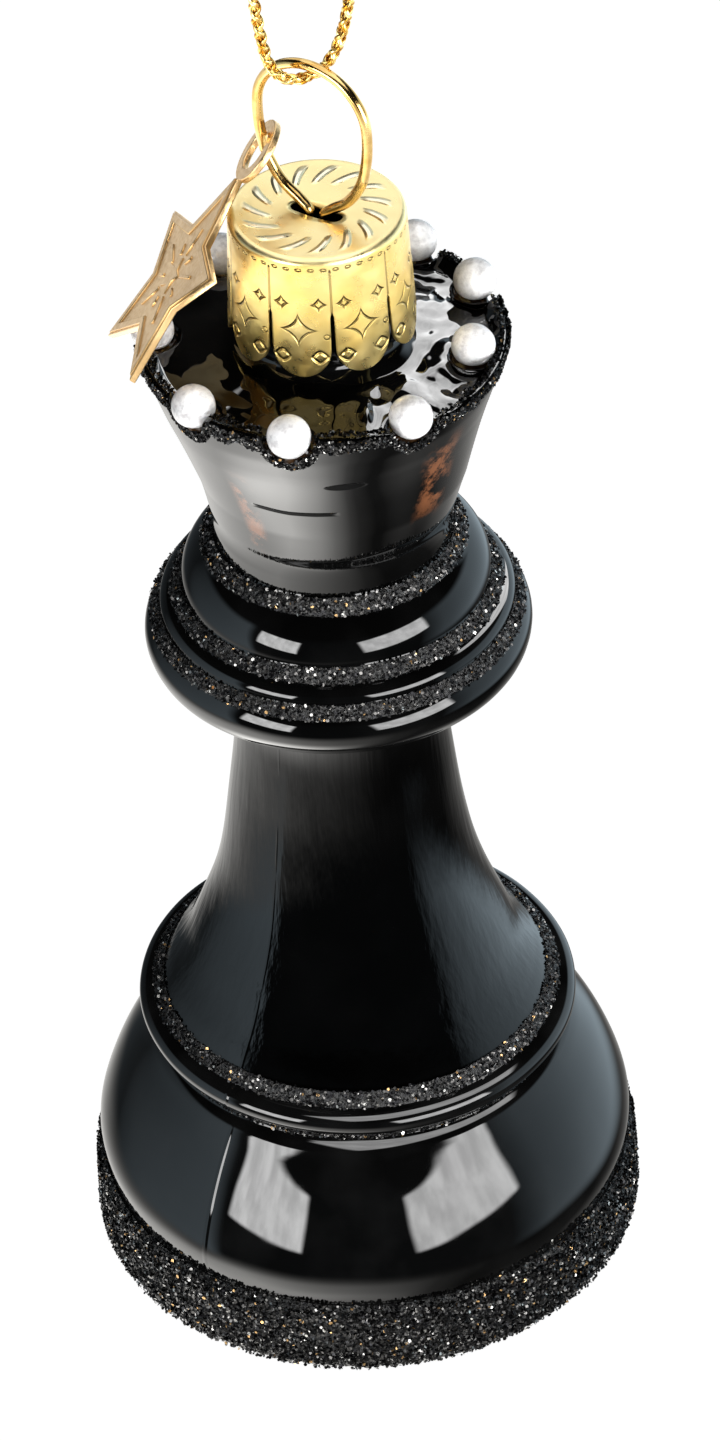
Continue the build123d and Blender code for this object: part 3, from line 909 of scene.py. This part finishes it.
def crown_glitter():
    """Flakes in a narrow line along the scalloped rim, heaped on the prongs between the pearls."""
    count = 15000
    azimuth = rng.uniform(0, math.tau, count)
    top = crown_rim(azimuth)
    prong = np.clip((top - 102.4) / 2.0, 0, 1)
    patchy = np.array([noise.noise(Vector((9 * math.cos(a), 9 * math.sin(a), 3.0))) for a in azimuth])
    heap = prong * np.clip(0.55 + 1.3 * patchy, 0, 1)
    drop = rng.uniform(0, 1, count) * (1.0 + 0.9 * heap)
    inward = rng.uniform(0, 1, count) < 0.06 + 0.45 * heap
    height = np.where(inward, top + 0.05 + 0.3 * heap * rng.uniform(0, 1, count), top - drop)
    on_top = 16.3 - rng.uniform(0, 0.4, count) - heap * rng.uniform(0, 0.9, count)
    radius = np.where(inward, on_top, cup_radius(top - drop) + 0.1)
    cosine, sine = np.cos(azimuth), np.sin(azimuth)
    points = np.stack([radius * cosine, radius * sine, height], -1)
    normals = unit(np.stack([cosine, sine, np.where(inward, 2.0, 0.1)], -1))
    points += normals * (rng.uniform(0, 0.10, count) + 0.25 * heap * rng.uniform(0, 1, count))[:, None]
    flakes = scatter(points, normals, 0.28, 0.55)
    nodes = ["crown_rim_glitter"]
    mesh_piece("crown_rim_flakes", *flakes, "ornament", FLAKES, "black_glitter", nodes, False)


crown_glitter()


# ---------------------------------------------------------------- pearls and their glue


def ball(radius, rows=36, columns=48):
    """Vertices and faces of a sphere about the origin."""
    grid = [
        (radius * math.sin(p) * math.cos(a), radius * math.sin(p) * math.sin(a), -radius * math.cos(p))
        for p in np.linspace(0.02, math.pi - 0.02, rows)
        for a in full_turn(columns)
    ]
    faces = lattice(rows, columns)
    faces += [tuple(range(columns - 1, -1, -1)), tuple(range((rows - 1) * columns, rows * columns))]
    return np.array(grid), faces


def add_pearls():
    made = []
    for number, (cx, cy) in enumerate(PEARL_PLACES, start=1):
        shell, faces = ball(PEARL_R - 0.04)
        shell *= 1 + ripple(shell, 1.3, 0.018, number * 7.0)[:, None]
        points = shell + (cx, cy, PEARL_HEIGHT)
        name = f"pearl_{number}"
        made.append(mesh_piece(name + "_lacquered", points, faces, "ornament", PEARL, "pearl", [name]))
    return made


def add_pearl_glue():
    """A ring of glue between each pearl and its seat, kept inside the crown's rim."""
    columns, rows = 48, 5
    verts, faces = [], []
    for cx, cy in PEARL_PLACES:
        grid = np.zeros((rows, columns, 3))
        for k, turn in enumerate(full_turn(columns)):
            dx, dy = math.cos(turn), math.sin(turn)
            reach = 2.35
            while math.hypot(cx + dx * reach, cy + dy * reach) > GLUE_REACH and reach > 0.7:
                reach -= 0.02
            inner = min(1.7, reach * 0.85)
            low = PEARL_HEIGHT - math.sqrt((SEAT_R - 0.02) ** 2 - reach**2)
            high = PEARL_HEIGHT - math.sqrt((PEARL_R - 0.02) ** 2 - inner**2)
            for row, t in enumerate(np.linspace(0, 1, rows)):
                away = reach + (inner - reach) * t
                sag = 0.25 * math.sin(math.pi * t)
                grid[row, k] = (cx + dx * away, cy + dy * away, low + (high - low) * t - sag)
        add_part(verts, faces, grid.reshape(-1, 3), lattice(rows, columns))
    mesh_piece("pearl_glue_rings", verts, faces, "ornament", GLUE, "clear_glue", ["pearl_glue"])


pearls = add_pearls()
add_pearl_glue()


# ---------------------------------------------------------------- cap


def slot_edge(turn):
    """Distance from the axis to the edge of the slot, in a direction."""
    half_length, half_width = SLOT_LENGTH / 2, SLOT_WIDTH / 2
    angle = turn - RING_TURN
    dx, dy = abs(math.cos(angle)), abs(math.sin(angle))
    straight = half_width / dy if dy > 1e-6 else math.inf
    if straight * dx <= half_length - half_width:
        return straight
    middle = half_length - half_width
    return middle * dx + math.sqrt(max(half_width**2 - (middle * dy) ** 2, 0))


def build_cap():
    """Disc with its slot, rounded shoulder and skirt, whose flaps end in half rounds."""
    steps = 36  # columns of quads in each flap
    disc_r, disc_top = 7.1, 117.45
    disc = [(0.0, 117.0), (disc_r, disc_top)]
    shoulder = arc((disc_r, disc_top), (7.75, 117.3), (CAP_R, CAP_SHOULDER), 10)
    skirt = run((CAP_R, CAP_SHOULDER), (8.17, SLIT_TOP + 0.6), 26)
    half = FLAP_WIDTH / 2
    lower = [(h, half) for h in np.linspace(SLIT_TOP, CAP_FOOT + half, 18)]
    rounding = np.radians(np.linspace(5, 86, 16))
    lower += [(CAP_FOOT + half * (1 - math.sin(p)), half * math.cos(p)) for p in rounding]
    verts, faces = [], []
    for flap in range(FLAPS):
        middle = math.radians(FIRST_FLAP + 360 / FLAPS * flap)
        flare = rng.uniform(-0.05, 0.15)
        columns = []
        for j in range(steps + 1):
            s = 2 * j / steps - 1
            turn = middle + s * math.pi / FLAPS
            inner = slot_edge(turn)
            radii = [inner + (disc_r - inner) * k / 8 for k in range(9)]
            column = [(r, turn, np.interp(r, *zip(*disc))) for r in radii]
            column += [(r, turn, h) for r, h in shoulder + skirt]
            for h, width in lower:
                r = CAP_R + (CAP_FOOT_R - CAP_R) * (CAP_SHOULDER - h) / (CAP_SHOULDER - CAP_FOOT)
                r += flare * ((SLIT_TOP - h) / 6.2) ** 2
                column.append((r, middle + s * width / r, h))
            columns.append([(r * math.cos(a), r * math.sin(a), h) for r, a, h in column])
        rows = list(zip(*columns))
        quads = lattice(len(rows), steps + 1, closed=False)
        add_part(verts, faces, [point for row in rows for point in row], quads)
    cap = mesh_piece("pressed_cap", verts, faces, "cap", CAP_GOLD, "cap_gold", ["ornament_cap"])
    weld = cap.modifiers.new("weld", "WELD")
    weld.merge_threshold = 0.02 * MM
    sheet = cap.modifiers.new("sheet", "SOLIDIFY")
    sheet.thickness = 0.3 * MM
    sheet.offset = 1.0
    return cap


cap = build_cap()


# ---------------------------------------------------------------- hanger wire


def hanger_line():
    """Centreline of the ring and its two legs, in the ring's own plane, as one smooth line."""
    ring = [(RING_R * math.cos(a), RING_MID + RING_R * math.sin(a)) for a in np.radians(range(0, 181, 20))]
    leg = [(5.45, 124.2), (4.75, 121.5), (3.35, 119.3), (1.6, 117.9), (0.75, 116.9)]
    leg += [(1.3, 115.4), (5.2, 107.3)]  # inside the neck
    other = [(-r, h) for r, h in reversed(leg)]
    return smooth(other + ring[::-1] + leg, 12)


def build_hanger():
    line = np.array([(r * math.cos(RING_TURN), r * math.sin(RING_TURN), h) for r, h in hanger_line()])
    line, _ = spaced(line, 0.18)
    verts, faces = tube(line, WIRE_R, 16)
    return mesh_piece("hanger_ring_wire", verts, faces, "hanger", WIRE_GOLD, "wire_gold", ["hanger_wire"])


wire = build_hanger()


# ---------------------------------------------------------------- star tag


def tag_matrix():
    """From the tag's own plane, star's centre at its origin, to the CAD frame."""
    right, facing = Vector(TAG_RIGHT).normalized(), Vector(TAG_FACING).normalized()
    up = facing.cross(right).normalized()
    right = up.cross(facing)
    pivot = Vector(TAG_PIVOT) - Vector((0, 0, LOOP_TOP))
    middle = (pivot - up * (TAG_HANG + EYELET_RISE)) * MM
    turn = Matrix((right, up, facing)).transposed().to_4x4()
    return Matrix.Translation(middle) @ turn @ Matrix.Scale(MM, 4)


def star_points(reach, notch):
    """Corners of a five-pointed star, anticlockwise from its top tip."""
    corners = [(notch if k % 2 else reach, math.radians(90 + 36 * k)) for k in range(10)]
    return [(r * math.cos(a), r * math.sin(a)) for r, a in corners]


def tag_outline():
    """Star and eyelet as one outline, anticlockwise from where the eyelet meets the top tip."""
    star = [np.array(corner) for corner in star_points(TAG_R, TAG_NOTCH_R)]
    tip, left, right = star[0], star[1], star[-1]

    def meet(notch):
        for t in np.linspace(0, 1, 400):
            point = notch + (tip - notch) * t
            if math.hypot(point[0], point[1] - EYELET_RISE) <= EYELET_R:
                return point
        return tip

    first, last = meet(right), meet(left)
    begin = math.atan2(first[1] - EYELET_RISE, first[0])
    end = math.atan2(last[1] - EYELET_RISE, last[0]) % math.tau
    turns = np.linspace(begin, end if end > begin else end + math.tau, 40)
    loop = [(EYELET_R * math.cos(a), EYELET_RISE + EYELET_R * math.sin(a)) for a in turns]
    return loop + [tuple(p) for p in star[1:]]


def bar(angle, start, end, width):
    """Corners of a straight bar that points away from the star's middle."""
    along = np.array([math.cos(angle), math.sin(angle)])
    side = np.array([-along[1], along[0]]) * width / 2
    ends = ((start, -1), (end, -1), (end, 1), (start, 1))
    return [tuple(along * reach + side * way) for reach, way in ends]


def flat_curve(name, outlines, half, bevel):
    """Mesh of flat outlines made into a plate with rounded edges, in the plate's own plane."""
    data = bpy.data.curves.new(name, "CURVE")
    data.dimensions = "2D"
    data.fill_mode = "BOTH"
    data.extrude = half - bevel
    data.bevel_depth = bevel
    data.bevel_resolution = 3
    data.offset = -bevel
    for outline in outlines:
        line = data.splines.new("POLY")
        line.points.add(len(outline) - 1)
        for point, (x, y) in zip(line.points, outline):
            point.co = (x, y, 0, 1)
        line.use_cyclic_u = True
    return curve_mesh(data)


def build_tag():
    """Star plate with an eyelet, and on its face a raised rim, rays and a small star."""
    turns = np.linspace(math.tau, 0, 40, endpoint=False)
    hole = [(EYELET_HOLE_R * math.cos(a), EYELET_RISE + EYELET_HOLE_R * math.sin(a)) for a in turns]
    bevel = 0.12
    half = TAG_THICKNESS / 2 - bevel
    outer, inner = (star_points(TAG_R * share, TAG_NOTCH_R * share) for share in (0.955, 0.80))
    rim = [outer, inner[::-1]]
    rays = [bar(math.radians(90 + 36 * k), 2.2, 5.0 if k % 2 == 0 else 3.3, 0.34) for k in range(10)]
    layers = [
        flat_curve("tag_plate", [tag_outline(), hole], half, bevel),
        flat_curve("tag_rim", rim, 0.16, 0.1),
        flat_curve("tag_rays", rays + [star_points(1.9, 0.95)], 0.13, 0.08),
    ]
    made = bmesh.new()
    for mesh, lift in zip(layers, (0.0, half, half)):
        mesh.transform(Matrix.Translation((0, 0, lift)))
        made.from_mesh(mesh)
        bpy.data.meshes.remove(mesh)
    plate = bpy.data.meshes.new("star_plate")
    made.to_mesh(plate)
    made.free()
    plate.transform(tag_matrix())
    plate.materials.append(BRASS)
    return place(bpy.data.objects.new("star_plate", plate), "tag", ["star_tag"])


tag = build_tag()


# ---------------------------------------------------------------- lamps


ORNAMENT_MIDDLE = (0, 0, -0.12)


def lamp(name, azimuth, elevation, distance, size, radiance, lit, roll=0.0):
    """A softly mottled area light that faces the ornament and lights only the given pieces.

    Azimuth 0 is towards the camera and 90 to its right."""
    data = bpy.data.lights.new(name, "AREA")
    data.shape = "RECTANGLE"
    data.size, data.size_y = size
    data.energy = radiance * math.pi * size[0] * size[1]
    graph = Graph(data)
    spread = graph.node("ShaderNodeNewGeometry", output="Parametric")
    u, v, _ = graph.split(spread)
    fade = graph.math("MULTIPLY", graph.window(u, 0.04, 0.96, 0.04), graph.window(v, 0.04, 0.96, 0.04))
    folds = graph.stretch(spread, (3.0, 0.8, 1.0))
    uneven = graph.span(graph.noise(2.0, 3.0, folds), 0.3, 0.7, 0.78, 1.15)
    shine = graph.node("ShaderNodeEmission", {"Strength": graph.math("MULTIPLY", fade, uneven)})
    graph.node("ShaderNodeOutputLight", {"Surface": shine})
    source = bpy.data.objects.new(name, data)
    az, el = math.radians(azimuth), math.radians(elevation)
    out = Vector((math.sin(az) * math.cos(el), -math.cos(az) * math.cos(el), math.sin(el)))
    turn = out.to_track_quat("Z", "Y").to_matrix().to_4x4() @ Matrix.Rotation(math.radians(roll), 4, "Z")
    source.matrix_world = Matrix.Translation(out * distance + Vector(ORNAMENT_MIDDLE)) @ turn
    source.visible_camera = False
    bpy.context.scene.collection.objects.link(source)
    receivers = bpy.data.collections.new(name + "_lit")
    for piece in lit:
        receivers.objects.link(piece)
    source.light_linking.receiver_collection = receivers
    return source


GOLD = [cord, knot, cap, wire, tag]
MESHES = [o for o in bpy.data.objects if o.type == "MESH" and not o.hide_render and o.name != "floor"]
ALL_BUT_STEM = [o for o in MESHES if o != stem]
SPARKLES = [o for o in MESHES if o.name.startswith(("ring_glitter", "collar_glitter"))]
lamp("left_softbox", -42, 4, 1.5, (0.84, 0.66), 11.5, ALL_BUT_STEM, roll=-7)
lamp("right_softbox", 38, 6, 1.5, (1.35, 0.70), 10.5, ALL_BUT_STEM, roll=8)
lamp("ring_light", 40, 60, 1.2, (2.0, 0.8), 6.0, [base] + SPARKLES)
lamp("crown_screen", 150, 40, 1.2, (1.1, 1.0), 9.0, [head])
lamp("pearl_sky", 70, 72, 1.2, (2.0, 2.0), 1.3, pearls)
lamp("gold_back_screen", 180, 42, 1.0, (1.3, 1.0), 1.2, GOLD)
lamp("gold_sky", 0, 84, 1.0, (1.4, 1.4), 1.8, GOLD)
gold_table = lamp("gold_table", 0, 90, 1.0, (3.0, 3.0), 1.1, GOLD)
gold_table.matrix_world = Matrix.Translation((0, 0, -LOOP_TOP * MM)) @ Matrix.Rotation(math.pi, 4, "X")
